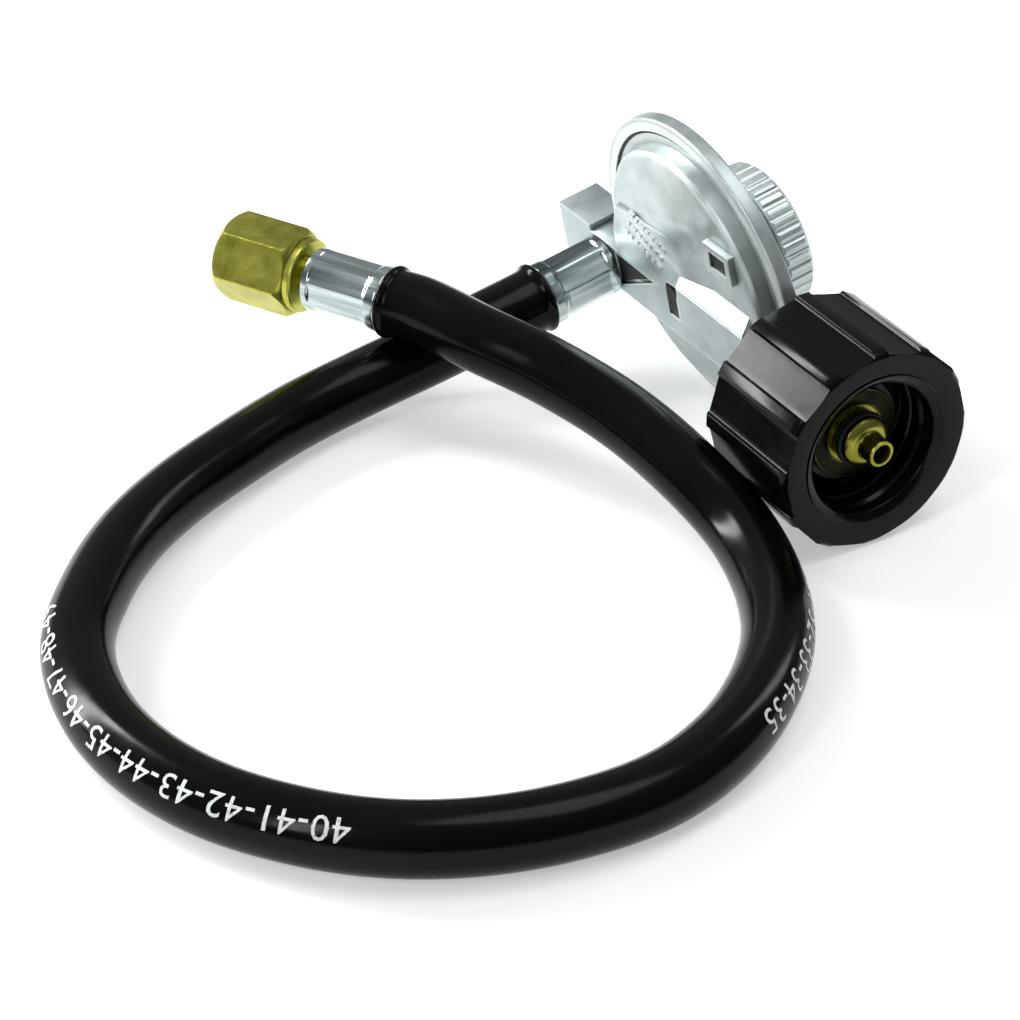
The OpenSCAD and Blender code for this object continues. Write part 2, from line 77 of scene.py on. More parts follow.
# %% [markdown]
# ## Two frames to build in
#
# The regulator lies with a lean, and the hose's free end points off to the rear. A
# matrix for each lets its pieces be drawn in millimetres along their own axes, and
# then be carried to their place. The place goes into the mesh, and the object
# itself stays at the origin.

# %% The regulator's frame and the free end's frame
MM = 0.001
LEAN = math.radians(11.5)
AXIS_HEIGHT = 24.948
SHIFT_Y = 10.45
DISC_Z = 11.671
WHEEL_R = 25
OUTLET = (-23, 33.5, -1.2)
FREE_MOUTH = (-61.5, 36.9 + SHIFT_Y, 28)
FREE_TURN = math.radians(118)
METRES = Matrix.Scale(MM, 4)
REGULATOR = (METRES @ Matrix.Translation((0, SHIFT_Y, AXIS_HEIGHT))
             @ Matrix.Rotation(-LEAN, 4, "Y"))
DISC = REGULATOR @ Matrix.Translation((0, 0, DISC_Z))
OUTLET_MOUTH = REGULATOR @ Matrix.Translation(OUTLET)
FREE_END = METRES @ Matrix.Translation(FREE_MOUTH) @ Matrix.Rotation(FREE_TURN, 4, "Z")
# Spirals are wound along Z, and these two turn them to lie along X or Y
Z_TO_X = Matrix.Rotation(math.pi / 2, 4, "Y")
Z_TO_Y = Matrix.Rotation(-math.pi / 2, 4, "X")
print("outlet", tuple(round(c, 4) for c in OUTLET_MOUTH.translation))

# %% [markdown]
# ## Finishes
#
# Each finish is a small node tree. Two values that are the same all over, such as
# metalness, sit on the shader itself. What changes over the surface comes from noise
# in Object coordinates, so it stays on the piece when a joint turns it.


# %% A small helper for node materials
def srgb(red, green, blue):
    """A colour as it looks on the screen, from 0 to 255, as the shader's own value."""
    return tuple(((c / 255 + 0.055) / 1.055) ** 2.4 for c in (red, green, blue)) + (1,)


class Finish:
    """One material, built up from its base colour by noise, wear and bump."""

    def __init__(self, name, metallic, roughness, specular=0.5, coat=0.0):
        self.material = bpy.data.materials.new(name)
        self.material.use_nodes = True
        self.nodes = self.material.node_tree.nodes
        self.links = self.material.node_tree.links
        self.shader = self.nodes["Principled BSDF"]
        self.shader.inputs["Metallic"].default_value = metallic
        self.shader.inputs["Roughness"].default_value = roughness
        self.shader.inputs["Specular IOR Level"].default_value = specular
        self.shader.inputs["Coat Weight"].default_value = coat
        self.place = self.nodes.new("ShaderNodeTexCoord").outputs["Object"]

    def add(self, kind, **inputs):
        node = self.nodes.new(kind)
        for key, value in inputs.items():
            socket = node.inputs[key.replace("_", " ")]
            if isinstance(value, bpy.types.NodeSocket):
                self.links.new(value, socket)
            else:
                socket.default_value = value
        return node

    def stretched(self, scale, turn=(0, 0, 0)):
        """Object coordinates, first turned to an axis and then stretched along it."""
        turned = self.add("ShaderNodeMapping", Vector=self.place)
        turned.inputs["Rotation"].default_value = turn
        return self.add("ShaderNodeMapping", Vector=turned.outputs[0], Scale=scale).outputs[0]

    def noise(self, scale, detail=4.0, rough=0.55, where=None):
        return self.add("ShaderNodeTexNoise", Vector=where or self.place, Scale=scale,
                        Detail=detail, Roughness=rough).outputs["Fac"]

    def closeness(self, distance, inside):
        """How open the shape is round a point: 1 is open, and 0 is deep in a crease."""
        node = self.add("ShaderNodeAmbientOcclusion", Distance=distance)
        node.samples = 8
        node.inside = inside
        node.only_local = True
        return node.outputs["AO"]

    def spread(self, value, low, high, to_low=0.0, to_high=1.0):
        node = self.add("ShaderNodeMapRange", Value=value, From_Min=low, From_Max=high,
                        To_Min=to_low, To_Max=to_high)
        return node.outputs["Result"]

    def blend(self, amount, first, second):
        node = self.nodes.new("ShaderNodeMix")
        node.data_type = "RGBA"
        self.put(node.inputs[0], amount)
        self.put(node.inputs[6], first)
        self.put(node.inputs[7], second)
        return node.outputs[2]

    def put(self, socket, value):
        if isinstance(value, bpy.types.NodeSocket):
            self.links.new(value, socket)
        else:
            socket.default_value = value

    def maths(self, operation, first, second):
        node = self.nodes.new("ShaderNodeMath")
        node.operation = operation
        self.put(node.inputs[0], first)
        self.put(node.inputs[1], second)
        return node.outputs[0]

    def colour(self, value):
        self.put(self.shader.inputs["Base Color"], value)

    def roughness(self, value):
        self.put(self.shader.inputs["Roughness"], value)

    def bump(self, height, strength, distance):
        node = self.add("ShaderNodeBump", Height=height, Strength=strength, Distance=distance)
        last = self.shader.inputs["Normal"]
        if last.is_linked:
            self.links.new(last.links[0].from_socket, node.inputs["Normal"])
        self.links.new(node.outputs[0], last)


# %% [markdown]
# The housing is die-cast zinc, tumbled and left bare: very pale, faintly mottled, with
# a fine sandy grain. Its creases are darkened by painted shade, which also stands for a
# little dirt, and handling has rubbed its corners bright. Both are read from how closed
# or open the shape is at a point. The bonnet and the cap get painted light: their
# colours are made lighter than the casting's, as if more brightly lit.


# %% Cast zinc
def cast_zinc(name, shade, painted_light=0):
    """Shade is how dark the painted shade in the creases is, and the third number is painted light
    added to every colour.
    """
    f = Finish(name, 0.8, 0.42)
    dark, light, dull = (srgb(*(part + painted_light for part in colour)) for colour in (
        (174, 185, 185), (208, 217, 217), (162, 175, 176)))
    mottle = f.noise(130, 5, 0.6)
    cloud = f.noise(28, 3, 0.5)
    body = f.blend(f.spread(mottle, 0.3, 0.7), dark, light)
    body = f.blend(f.spread(cloud, 0.42, 0.68, 0, 0.5), body, dull)
    crease = f.closeness(0.003, False)
    edge = f.closeness(0.0006, True)
    # Painted shade: the creases are darkened towards near black.
    body = f.blend(f.spread(crease, 0.4, 0.92, 1 - shade, 1), srgb(30, 34, 35), body)
    f.colour(f.blend(f.spread(edge, 0.85, 0.5), body, srgb(240, 243, 243)))
    f.roughness(f.spread(mottle, 0.3, 0.7, 0.34, 0.48))
    f.bump(f.noise(2600, 3, 0.7), 0.12, 0.00006)
    f.bump(mottle, 0.1, 0.0003)
    return f.material


# Painted light: the bonnet and the cap get lighter colours than the casting, as if more brightly
# lit.
PAINTED_LIGHT_LIFT = 22
ZINC = cast_zinc("cast_zinc", 1.0)
BONNET_ZINC = cast_zinc("cast_zinc_bonnet_painted_light", 1.0, PAINTED_LIGHT_LIFT)
CAP_ZINC = cast_zinc("cast_zinc_cap_painted_light", 0.35, PAINTED_LIGHT_LIFT)

# %% [markdown]
# The crimped ferrules are steel with bright plating. Crimping jaws and drawing leave
# fine lines along the axis, so the noise is stretched along it: one finish for the
# outlet's axis and one for the free end's, with the mapping turned to each. Broad dark
# streaks along the axis are painted reflections, and the creases get painted shade.


# %% Plated steel, drawn along an axis
def plated_steel(name, turn):
    f = Finish(name, 1.0, 0.2)
    drawn = f.noise(420, 4, 0.6, f.stretched((0.05, 1, 1), turn))
    painted_reflection_streaks = f.noise(150, 2, 0.5, f.stretched((0.12, 1, 1), turn))
    tone = f.blend(f.spread(drawn, 0.35, 0.65), srgb(158, 170, 171), srgb(218, 227, 227))
    # Painted reflection: broad dark streaks along the axis stand in for dark surroundings
    # reflected.
    tone = f.blend(f.spread(painted_reflection_streaks, 0.5, 0.64), tone, srgb(84, 95, 96))
    # Painted shade: the creases are darkened towards black.
    f.colour(f.blend(f.spread(f.closeness(0.0015, False), 0.3, 0.8), srgb(20, 24, 25), tone))
    f.roughness(f.spread(drawn, 0.3, 0.7, 0.13, 0.28))
    f.bump(drawn, 0.1, 0.00006)
    return f.material


STEEL_OUTLET = plated_steel("plated_steel_outlet", (0, LEAN, 0))
STEEL_FREE = plated_steel("plated_steel_free_end", (0, 0, -FREE_TURN))
STEEL = plated_steel("plated_steel", (0, 0, 0))

# %% [markdown]
# The brass is free-cutting bar, turned and dull with handling. It is a greenish
# yellow, darker in its cloudy stains, with tool marks round its axis.


# %% Turned brass
def turned_brass(name, turn, dark=0.0):
    f = Finish(name, 1.0, 0.3)
    marks = f.noise(900, 2, 0.5, f.stretched((1, 0.06, 0.06), turn))
    stain = f.noise(95, 5, 0.62)
    tone = f.blend(f.spread(stain, 0.35, 0.65), srgb(164, 164, 58), srgb(200, 198, 96))
    tone = f.blend(f.spread(f.noise(240, 4), 0.5, 0.75, 0, 0.5), tone, srgb(140, 140, 40))
    # Painted shade: the creases are darkened towards dark olive.
    crease = f.closeness(0.002, False)
    tone = f.blend(f.spread(crease, 0.3, 0.85), srgb(62, 58, 22), tone)
    # The last argument is painted shade: it darkens all of the brass, for brass that sits deep in a
    # hollow.
    f.colour(f.blend(dark, tone, srgb(30, 28, 12)))
    f.roughness(f.spread(stain, 0.3, 0.7, 0.22, 0.36))
    f.bump(marks, 0.16, 0.00005)
    f.bump(stain, 0.06, 0.0002)
    return f.material


BRASS_NUT = turned_brass("turned_brass_nut", (0, 0, -FREE_TURN))
# Painted shade: the inlet's brass sits deep in the wheel, so it is made darker.
BRASS_INLET = turned_brass("turned_brass_inlet", (0, 0, math.pi / 2), 0.4)

# %% [markdown]
# The ring and the nose inside the wheel are brass too, darkened by painted shade, for
# they sit deep in the wheel. The ring is painted nearly black, with painted highlights
# on its corners.


# %% Brass with painted shade and painted highlights
def brass_painted_shade():
    f = Finish("brass_painted_shade", 1.0, 0.34)
    stain = f.noise(160, 5, 0.62)
    # Painted shade: the brass is made nearly black.
    dull = f.blend(f.spread(stain, 0.35, 0.65), srgb(16, 15, 10), srgb(38, 36, 22))
    edge = f.closeness(0.0007, True)
    # Painted highlight: the corners are made bright.
    f.colour(f.blend(f.spread(edge, 0.8, 0.45), dull, srgb(214, 206, 138)))
    f.roughness(f.spread(stain, 0.3, 0.7, 0.28, 0.42))
    f.bump(f.noise(900, 2, 0.5, f.stretched((1, 0.06, 0.06), (0, 0, math.pi / 2))), 0.2, 0.00005)
    return f.material


BRASS_PAINTED_SHADE = brass_painted_shade()

# %% [markdown]
# Black things are hard to tell apart unless their gloss differs. The wheel is a hard
# moulded plastic with a slight swirl in its gloss. The hose cover is smooth extruded
# rubber with fine long lines and a little bloom, and the seals are dull.


# %% Black plastic and rubbers
def black_plastic():
    f = Finish("black_plastic", 0.0, 0.22, 0.14)
    swirl = f.noise(60, 4, 0.6)
    f.colour(f.blend(f.spread(swirl, 0.3, 0.7), srgb(3, 3, 4), srgb(9, 9, 10)))
    f.roughness(f.spread(f.noise(150, 5, 0.65), 0.3, 0.7, 0.12, 0.22))
    f.bump(f.noise(1500, 3), 0.05, 0.00005)
    f.bump(swirl, 0.05, 0.0004)
    return f.material


def hose_rubber():
    f = Finish("hose_rubber", 0.0, 0.2, 0.13)
    bloom = f.noise(55, 5, 0.6)
    f.colour(f.blend(f.spread(bloom, 0.35, 0.7), srgb(2, 2, 2), srgb(7, 8, 8)))
    f.roughness(f.spread(f.noise(180, 4), 0.3, 0.7, 0.14, 0.21))
    f.bump(f.noise(900, 4, 0.6), 0.1, 0.00008)
    f.bump(f.noise(90, 2), 0.12, 0.0004)
    return f.material


def seal_rubber():
    f = Finish("seal_rubber", 0.0, 0.55, 0.35)
    grain = f.noise(700, 4, 0.6)
    f.colour(f.blend(f.spread(grain, 0.3, 0.7), srgb(17, 17, 18), srgb(34, 34, 35)))
    f.roughness(f.spread(grain, 0.3, 0.7, 0.48, 0.66))
    f.bump(grain, 0.15, 0.0001)
    return f.material


def bushing_plastic():
    f = Finish("bushing_plastic", 0.0, 0.4, 0.35)
    grain = f.noise(400, 4, 0.6)
    f.colour(f.blend(f.spread(grain, 0.3, 0.7), srgb(20, 20, 20), srgb(38, 37, 35)))
    f.roughness(f.spread(grain, 0.3, 0.7, 0.34, 0.5))
    f.bump(grain, 0.1, 0.0001)
    return f.material


PLASTIC = black_plastic()
RUBBER = hose_rubber()
SEAL = seal_rubber()
BUSHING = bushing_plastic()


# %% Print on the hose
def hose_ink():
    f = Finish("hose_ink", 0.0, 0.5, 0.3)
    worn = f.noise(1500, 4, 0.7)
    f.colour(f.blend(f.spread(worn, 0.5, 0.75), srgb(232, 236, 236), srgb(130, 136, 136)))
    f.roughness(f.spread(worn, 0.3, 0.7, 0.42, 0.6))
    f.bump(worn, 0.1, 0.00005)
    return f.material


INK = hose_ink()
print("materials", [m.name for m in bpy.data.materials])

# %% [markdown]
# ## The hose
#
# The hose is one fixed length of stiff rubber. It leaves the outlet straight, drops to
# the floor, runs round one open loop and climbs over its own start, which it clears by
# about half a millimetre. A curve with a round bevel is the plainest way to draw it: its
# line is the hose's middle and its bevel depth is half the hose. The route's points
# are those of the solid hose, and a spline through them takes the corners off.

# %% Hose route
HOSE_R = 7.95
LEAD = 9
outlet_way = OUTLET_MOUTH.to_3x3() @ Vector((-1, 0, 0)) / MM
outlet_mouth = OUTLET_MOUTH.translation / MM
free_mouth = FREE_END.translation / MM
free_way = FREE_END.to_3x3() @ Vector((1, 0, 0)) / MM
HOSE_BENDS = [
    (-51, 34.5, 13), (-70.5, 35, 9.5), (-90.5, 32, 8), (-110, 25, 8), (-128.5, 17, 8),
    (-145.5, 6.5, 8), (-160, -7, 8), (-172.5, -23.5, 8), (-179, -42.5, 8),
    (-180, -62.5, 8), (-175, -82.5, 8), (-165, -99.5, 8), (-151, -114, 8),
    (-134, -124, 8), (-114.5, -129.5, 8), (-94, -130, 8), (-74.5, -123.5, 8),
    (-57.5, -112, 8), (-44, -97.5, 8), (-34.8, -80, 8.5), (-30.4, -61.5, 10.7),
    (-32, -43.5, 15.75), (-35.3, -22.6, 19.6), (-42.5, -3.5, 23.5), (-52, 14, 27),
]
route = [outlet_mouth, outlet_mouth + LEAD * outlet_way]
route += [Vector((x, y + SHIFT_Y, z)) for x, y, z in HOSE_BENDS]
route += [free_mouth - LEAD * free_way, free_mouth]
print("route points", len(route))


# %% A smooth line through the route
def between(before, start, end, after, t):
    """A point on the smooth piece from start to end, with their neighbours' slopes."""
    slope_a = (end - before) * ((end - start).length / (end - before).length)
    slope_b = (after - start) * ((end - start).length / (after - start).length)
    return ((2 * t**3 - 3 * t**2 + 1) * start + (t**3 - 2 * t**2 + t) * slope_a
            + (3 * t**2 - 2 * t**3) * end + (t**3 - t**2) * slope_b)


def smooth_line(points, steps):
    line = []
    padded = [2 * points[0] - points[1]] + points + [2 * points[-1] - points[-2]]
    for i in range(1, len(padded) - 2):
        line += [between(*padded[i - 1:i + 3], k / steps) for k in range(steps)]
    return line + [points[-1]]


hose_line = smooth_line(route, 12)
hose_length = sum((b - a).length for a, b in zip(hose_line, hose_line[1:]))
print("hose length", round(hose_length, 1), "mm")

# %% The hose itself
hose_curve = bpy.data.curves.new("rubber_hose", "CURVE")
hose_curve.dimensions = "3D"
hose_curve.bevel_depth = HOSE_R * MM
hose_curve.bevel_resolution = 14
hose_curve.use_fill_caps = True
spline = hose_curve.splines.new("POLY")
spline.points.add(len(hose_line) - 1)
for spot, place in zip(spline.points, hose_line):
    spot.co = (*(place * MM), 1)
spline.use_smooth = True
hose = bpy.data.objects.new("rubber_hose", hose_curve)
hose_curve.materials.append(RUBBER)
scene.collection.objects.link(hose)
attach(hose, "regulator")
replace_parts(hose, "hose")

# %% [markdown]
# ## Tools for turned and repeated pieces
#
# Most of this object was turned on a lathe or repeats round an axis. A profile of
# points, each a place along the axis and a radius, is softened at its corners and
# swept round. Where the outline is not round, as on a nut, a wheel or a crimped
# ferrule, one sector is drawn column by column, and Geometry Nodes repeat it round.


# %% Softened outlines
def softened(points, radius, steps=3, closed=True):
    """The outline with each corner rounded. A point's third number is its own radius."""
    result = []
    count = len(points)
    for i, point in enumerate(points):
        here = Vector(point[:2])
        r = point[2] if len(point) > 2 else radius
        if r == 0 or (not closed and i in (0, count - 1)):
            result.append(tuple(here))
            continue
        before = Vector(points[i - 1][:2])
        after = Vector(points[(i + 1) % count][:2])
        back = min(r, 0.45 * (before - here).length)
        on = min(r, 0.45 * (after - here).length)
        a = here + (before - here).normalized() * back
        b = here + (after - here).normalized() * on
        for k in range(steps + 1):
            t = k / steps
            result.append(tuple((1 - t)**2 * a + 2 * t * (1 - t) * here + t**2 * b))
    return result


# %% A mesh becomes a piece
def riding(name, mesh, body):
    """A new object for the mesh, at the origin, that rides on a body."""
    piece = bpy.data.objects.new(name, mesh)
    scene.collection.objects.link(piece)
    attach(piece, body)
    return piece


def make_piece(name, mesh, place, body, material, sharp=32):
    """Carries a mesh drawn in millimetres to its place and lets it ride on a body."""
    work = bmesh.new()
    work.from_mesh(mesh)
    bmesh.ops.remove_doubles(work, verts=work.verts, dist=0.002)
    bmesh.ops.dissolve_degenerate(work, edges=work.edges, dist=0.0005)
    bmesh.ops.recalc_face_normals(work, faces=work.faces)
    work.to_mesh(mesh)
    work.free()
    mesh.transform(place)
    mesh.polygons.foreach_set("use_smooth", [True] * len(mesh.polygons))
    mesh.set_sharp_from_angle(angle=math.radians(sharp))
    mesh.materials.clear()
    mesh.materials.append(material)
    print(name, len(mesh.vertices), "vertices")
    return riding(name, mesh, body)


# %% Turned pieces
def around(axis, along, radius, angle):
    """A point at a radius and an angle round the X or the Y axis."""
    c, s = radius * math.cos(angle), radius * math.sin(angle)
    return (along, c, s) if axis == "X" else (c, along, s)


def turned_mesh(name, profile, axis="X", sides=128):
    """A profile of (along, radius) points swept once round its axis, closed on itself."""
    count = len(profile)
    verts = [around(axis, a, max(r, 0), 2 * math.pi * k / sides)
             for k in range(sides) for a, r in profile]
    faces = [(k * count + i, k * count + (i + 1) % count,
              (k + 1) % sides * count + (i + 1) % count, (k + 1) % sides * count + i)
             for k in range(sides) for i in range(count)]
    mesh = bpy.data.meshes.new(name)
    mesh.from_pydata(verts, [], faces)
    return mesh


# %% One sector of a piece that repeats
def sector_mesh(name, columns, axis="X"):
    """Columns are (angle, profile) pairs with equally long profiles, each closed."""
    count = len(columns[0][1])
    verts = [around(axis, a, max(r, 0), angle) for angle, profile in columns
             for a, r in profile]
    faces = [(k * count + i, k * count + (i + 1) % count,
              (k + 1) * count + (i + 1) % count, (k + 1) * count + i)
             for k in range(len(columns) - 1) for i in range(count)]
    mesh = bpy.data.meshes.new(name)
    mesh.from_pydata(verts, [], faces)
    return mesh


# %% [markdown]
# Each Geometry Nodes tree is written out in the script, with named inputs for its
# sizes. The first repeats what it is given round an axis and welds the seams. The
# second winds a coil, for springs and screw threads.


# %% Helpers for Geometry Nodes
def new_tree(name, inputs):
    """A tree with a geometry in and out, and further inputs as (name, kind, value)."""
    tree = bpy.data.node_groups.new(name, "GeometryNodeTree")
    tree.interface.new_socket("Geometry", in_out="INPUT", socket_type="NodeSocketGeometry")
    for label, kind, value in inputs:
        item = tree.interface.new_socket(label, in_out="INPUT", socket_type="NodeSocket" + kind)
        if value is not None:
            item.default_value = value
    tree.interface.new_socket("Geometry", in_out="OUTPUT", socket_type="NodeSocketGeometry")
    return tree, tree.nodes.new("NodeGroupInput"), tree.nodes.new("NodeGroupOutput")


def node(tree, kind, settings=None, **inputs):
    made = tree.nodes.new(kind)
    for key, value in (settings or {}).items():
        setattr(made, key, value)
    for key, value in inputs.items():
        socket = made.inputs[int(key[1:]) if key[1:].isdigit() else key.replace("_", " ")]
        if isinstance(value, bpy.types.NodeSocket):
            tree.links.new(value, socket)
        else:
            socket.default_value = value
    return made


def finish_tree(tree, geometry, start, end):
    """Ends a tree the way the export needs it: real geometry with its material set."""
    real = node(tree, "GeometryNodeRealizeInstances", Geometry=geometry)
    dressed = node(tree, "GeometryNodeSetMaterial", Geometry=real.outputs[0],
                   Material=start.outputs["Material"])
    tree.links.new(dressed.outputs[0], end.inputs[0])


def grown(tree, mesh, **values):
    """Runs a tree on a mesh and returns the result as a plain mesh."""
    carrier = bpy.data.objects.new(mesh.name + "_carrier", mesh)
    scene.collection.objects.link(carrier)
    modifier = carrier.modifiers.new("grow", "NODES")
    modifier.node_group = tree
    sockets = {item.name: item.identifier for item in tree.interface.items_tree
               if item.in_out == "INPUT"}
    for label, value in values.items():
        modifier[sockets[label.replace("_", " ")]] = value
    bpy.context.view_layer.update()
    graph = bpy.context.evaluated_depsgraph_get()
    result = bpy.data.meshes.new_from_object(carrier.evaluated_get(graph))
    result.name = mesh.name + "_grown"
    bpy.data.objects.remove(carrier)
    return result


# %% The tree that repeats round an axis
repeat_round, start, end = new_tree("repeat_round", [
    ("Count", "Int", 6), ("Full turn", "Vector", (0, 0, 0)), ("Weld", "Float", 0.01),
    ("Material", "Material", None)])
spots = node(repeat_round, "GeometryNodePoints", Count=start.outputs["Count"])
index = node(repeat_round, "GeometryNodeInputIndex")
share = node(repeat_round, "ShaderNodeMath", {"operation": "DIVIDE"},
             _0=index.outputs[0], _1=start.outputs["Count"])
turn = node(repeat_round, "ShaderNodeVectorMath", {"operation": "SCALE"},
            _0=start.outputs["Full turn"], Scale=share.outputs[0])
copies = node(repeat_round, "GeometryNodeInstanceOnPoints", Points=spots.outputs[0],
              Instance=start.outputs["Geometry"], Rotation=turn.outputs[0])
real = node(repeat_round, "GeometryNodeRealizeInstances", Geometry=copies.outputs[0])
weld = node(repeat_round, "GeometryNodeMergeByDistance", Geometry=real.outputs[0],
            Distance=start.outputs["Weld"])
finish_tree(repeat_round, weld.outputs[0], start, end)
FULL_TURN = {"X": (2 * math.pi, 0, 0), "Y": (0, 2 * math.pi, 0)}


def repeated(name, columns, count, weld, material, axis="X"):
    """A sector drawn from its columns and repeated into a whole ring."""
    return grown(repeat_round, sector_mesh(name + "_sector", columns, axis), Count=count,
                 Full_turn=FULL_TURN[axis], Weld=weld, Material=material)


# %% The tree that winds a coil
coil, start, end = new_tree("coil", [
    ("Radius", "Float", 8), ("Length", "Float", 9), ("Turns", "Float", 4),
    ("Wire", "Float", 0.6), ("Wire sides", "Int", 10), ("Material", "Material", None)])
spiral = node(coil, "GeometryNodeCurveSpiral", Resolution=64, Rotations=start.outputs["Turns"],
              Height=start.outputs["Length"])
coil.links.new(start.outputs["Radius"], spiral.inputs["Start Radius"])
coil.links.new(start.outputs["Radius"], spiral.inputs["End Radius"])
section = node(coil, "GeometryNodeCurvePrimitiveCircle", Resolution=start.outputs["Wire sides"],
               Radius=start.outputs["Wire"])
wound = node(coil, "GeometryNodeCurveToMesh", Curve=spiral.outputs[0],
             _1=section.outputs[0])
for socket in wound.inputs:
    if socket.name == "Fill Caps":
        socket.default_value = True
finish_tree(coil, wound.outputs[0], start, end)


def winding(name, radius, length, turns, wire, sides, material):
    """A coil of round wire along Z that starts at the origin."""
    return grown(coil, bpy.data.meshes.new(name), Radius=radius, Length=length, Turns=turns,
                 Wire=wire, Wire_sides=sides, Material=material)


print("trees", [g.name for g in bpy.data.node_groups])

# %% [markdown]
# ## The hand wheel
#
# The wheel is moulded plastic with flat-topped grip ribs and shallow hollow panels
# between them. One rib and half a panel on each side make a sector. In each column
# of the sector the front chamfer stops where it meets the rib or the panel, which
# gives the real curved edge there. A coil of wire set into the bore makes its thread.

# %% The wheel's places along the inlet
WHEEL_BACK = -40.5
WHEEL_FRONT = -71.1
WEB_BACK = -54
WEB_FRONT = -57.5
THREAD_R = 16.2
RIBS = 12
RIB_SHAPE = softened([
    (-15, 1.4, 0), (-9, 1.25, 1.5), (-4.5, 0.95, 0.5), (-3.75, 0, 0.32), (3.75, 0, 0.32),
    (4.5, 0.95, 0.5), (9, 1.25, 1.5), (15, 1.4, 0)], 0.3, 3, closed=False)


# %% The wheel
def chamfered(outer, chamfer):
    """The chamfer's points, held where the outline's own radius is reached."""
    result = []
    for (a0, r0), (a1, r1) in zip([chamfer[0]] + chamfer[:-1], chamfer):
        if r1 <= outer:
            result.append((a1, r1))
        elif r0 < outer:
            result.append((a0 + (a1 - a0) * (outer - r0) / (r1 - r0), outer))
        else:
            result.append((result[-1][0] if result else a0, outer))
    return result


FRONT_CHAMFER = [(WHEEL_FRONT, 23.3), (-71.05, 23.6), (-70.9, 23.9), (-70.65, 24.2),
                 (-70.3, 24.5), (-69.9, 24.72), (-69.4, 24.9), (-68.8, 25.0)]
BACK_CHAMFER = [(WHEEL_BACK, 24.4), (-40.56, 24.65), (-40.75, 24.9), (-41.1, 25.0)]
WHEEL_INNER = softened([
    (WHEEL_BACK, 13.5), (WEB_BACK, 13.5), (WEB_BACK, 9.96), (WEB_FRONT, 9.96),
    (WEB_FRONT, THREAD_R), (-69.9, THREAD_R), (WHEEL_FRONT, 18.6)], 0.5, 3)

wheel_columns = []
for degrees, drop in RIB_SHAPE:
    outer = WHEEL_R - drop
    profile = chamfered(outer, FRONT_CHAMFER) + chamfered(outer, BACK_CHAMFER)[::-1]
    wheel_columns.append((math.radians(degrees), profile + WHEEL_INNER))
wheel_mesh = repeated("hand_wheel", wheel_columns, RIBS, 0.004, PLASTIC, "Y")
# One rib points straight down, so the wheel stands on it
RIB_DOWN = REGULATOR @ Matrix.Rotation(math.pi / 2 + LEAN, 4, "Y")
wheel = make_piece("hand_wheel", wheel_mesh, RIB_DOWN, "wheel", PLASTIC, 24)
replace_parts(wheel, "coupling_nut")

# %% The wheel's thread
make_piece(
    "hand_wheel_thread", winding("wheel_thread", THREAD_R + 0.75, 11.0, 2.6, 1.35, 8, PLASTIC),
    REGULATOR @ Matrix.Translation((0, WHEEL_FRONT + 1.9, 0)) @ Z_TO_Y,
    "wheel", PLASTIC, 40)

# %% [markdown]
# ## The inlet nipple
#
# Behind the wheel's thread sits the brass nipple that seals in the cylinder valve: a
# small tip with its bore, a rounded nose, a soft seal in a groove, and a ring that
# holds the bushing. All of it is turned, so one softened profile gives it.

# %% Inlet nipple, seal and ring
nipple = make_piece("inlet_nipple_turned", turned_mesh("inlet_nipple_turned", softened([
    (-72.9, 2.3), (-72.9, 3.2, 0.5), (-68.3, 3.2, 0.5), (-68.1, 4.4, 0.4), (-66.9, 6.0, 0.9),
    (-65.82, 6.0, 0.15), (-65.82, 4.72, 0.1), (-63.88, 4.72, 0.1), (-63.88, 6.0, 0.15),
    (-62.4, 6.0, 0.2), (-62.4, 7.0, 0.15), (-60.7, 7.0, 0.1), (-60.7, 7.5, 0.1),
    (-45.8, 7.5, 0.2), (-45.8, 8.8, 0.1), (-44.3, 8.8, 0.1), (-44.3, 6.48, 0.1),
    (-39.0, 6.48, 0.3), (-39.0, 1.5, 0.1), (-55.6, 1.5, 0.1), (-55.6, 3.2, 0.2),
    (-64.6, 3.2, 0.2), (-64.6, 2.3, 0.2)], 0.2, 3), "Y", 112),
    REGULATOR, "regulator", BRASS_INLET)
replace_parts(nipple, "inlet_nipple")
HEX_FLAT = 9.0
hex_columns = []
for degrees in (-30, -29, -27, -20, -10, 0, 10, 20, 27, 29, 30):
    flat = HEX_FLAT / math.cos(math.radians(degrees))
    hex_columns.append((math.radians(degrees), softened([
        (-45.8, 8.0), (-45.8, min(9.9, flat)), (-45.5, flat), (-44.3, flat), (-44.3, 8.0)],
        0.12, 2)))
make_piece(
    "inlet_nipple_hex", repeated("inlet_nipple_hex", hex_columns, 6, 0.004, BRASS_INLET, "Y"),
    REGULATOR, "regulator", BRASS_INLET)
ring = make_piece("retaining_ring_turned", turned_mesh("retaining_ring_turned", softened([
    (-62.4, 7.02), (-62.4, 11.0, 0.35), (-60.75, 11.0, 0.3), (-60.75, 7.02)], 0.2, 4),
    "Y", 128), REGULATOR, "regulator", BRASS_PAINTED_SHADE)
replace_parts(ring, "retaining_ring")

# %% [markdown]
# ## The diaphragm housing
#
# The casting, the bonnet and the rim crimped round them are seen from all sides. The
# bonnet and the rim are turned profiles. The casting itself has flats, a spine and
# recesses, so a copy of its solid is welded, its flat faces joined up, and its edges
# given the small radius that a die leaves, which is what catches the light.


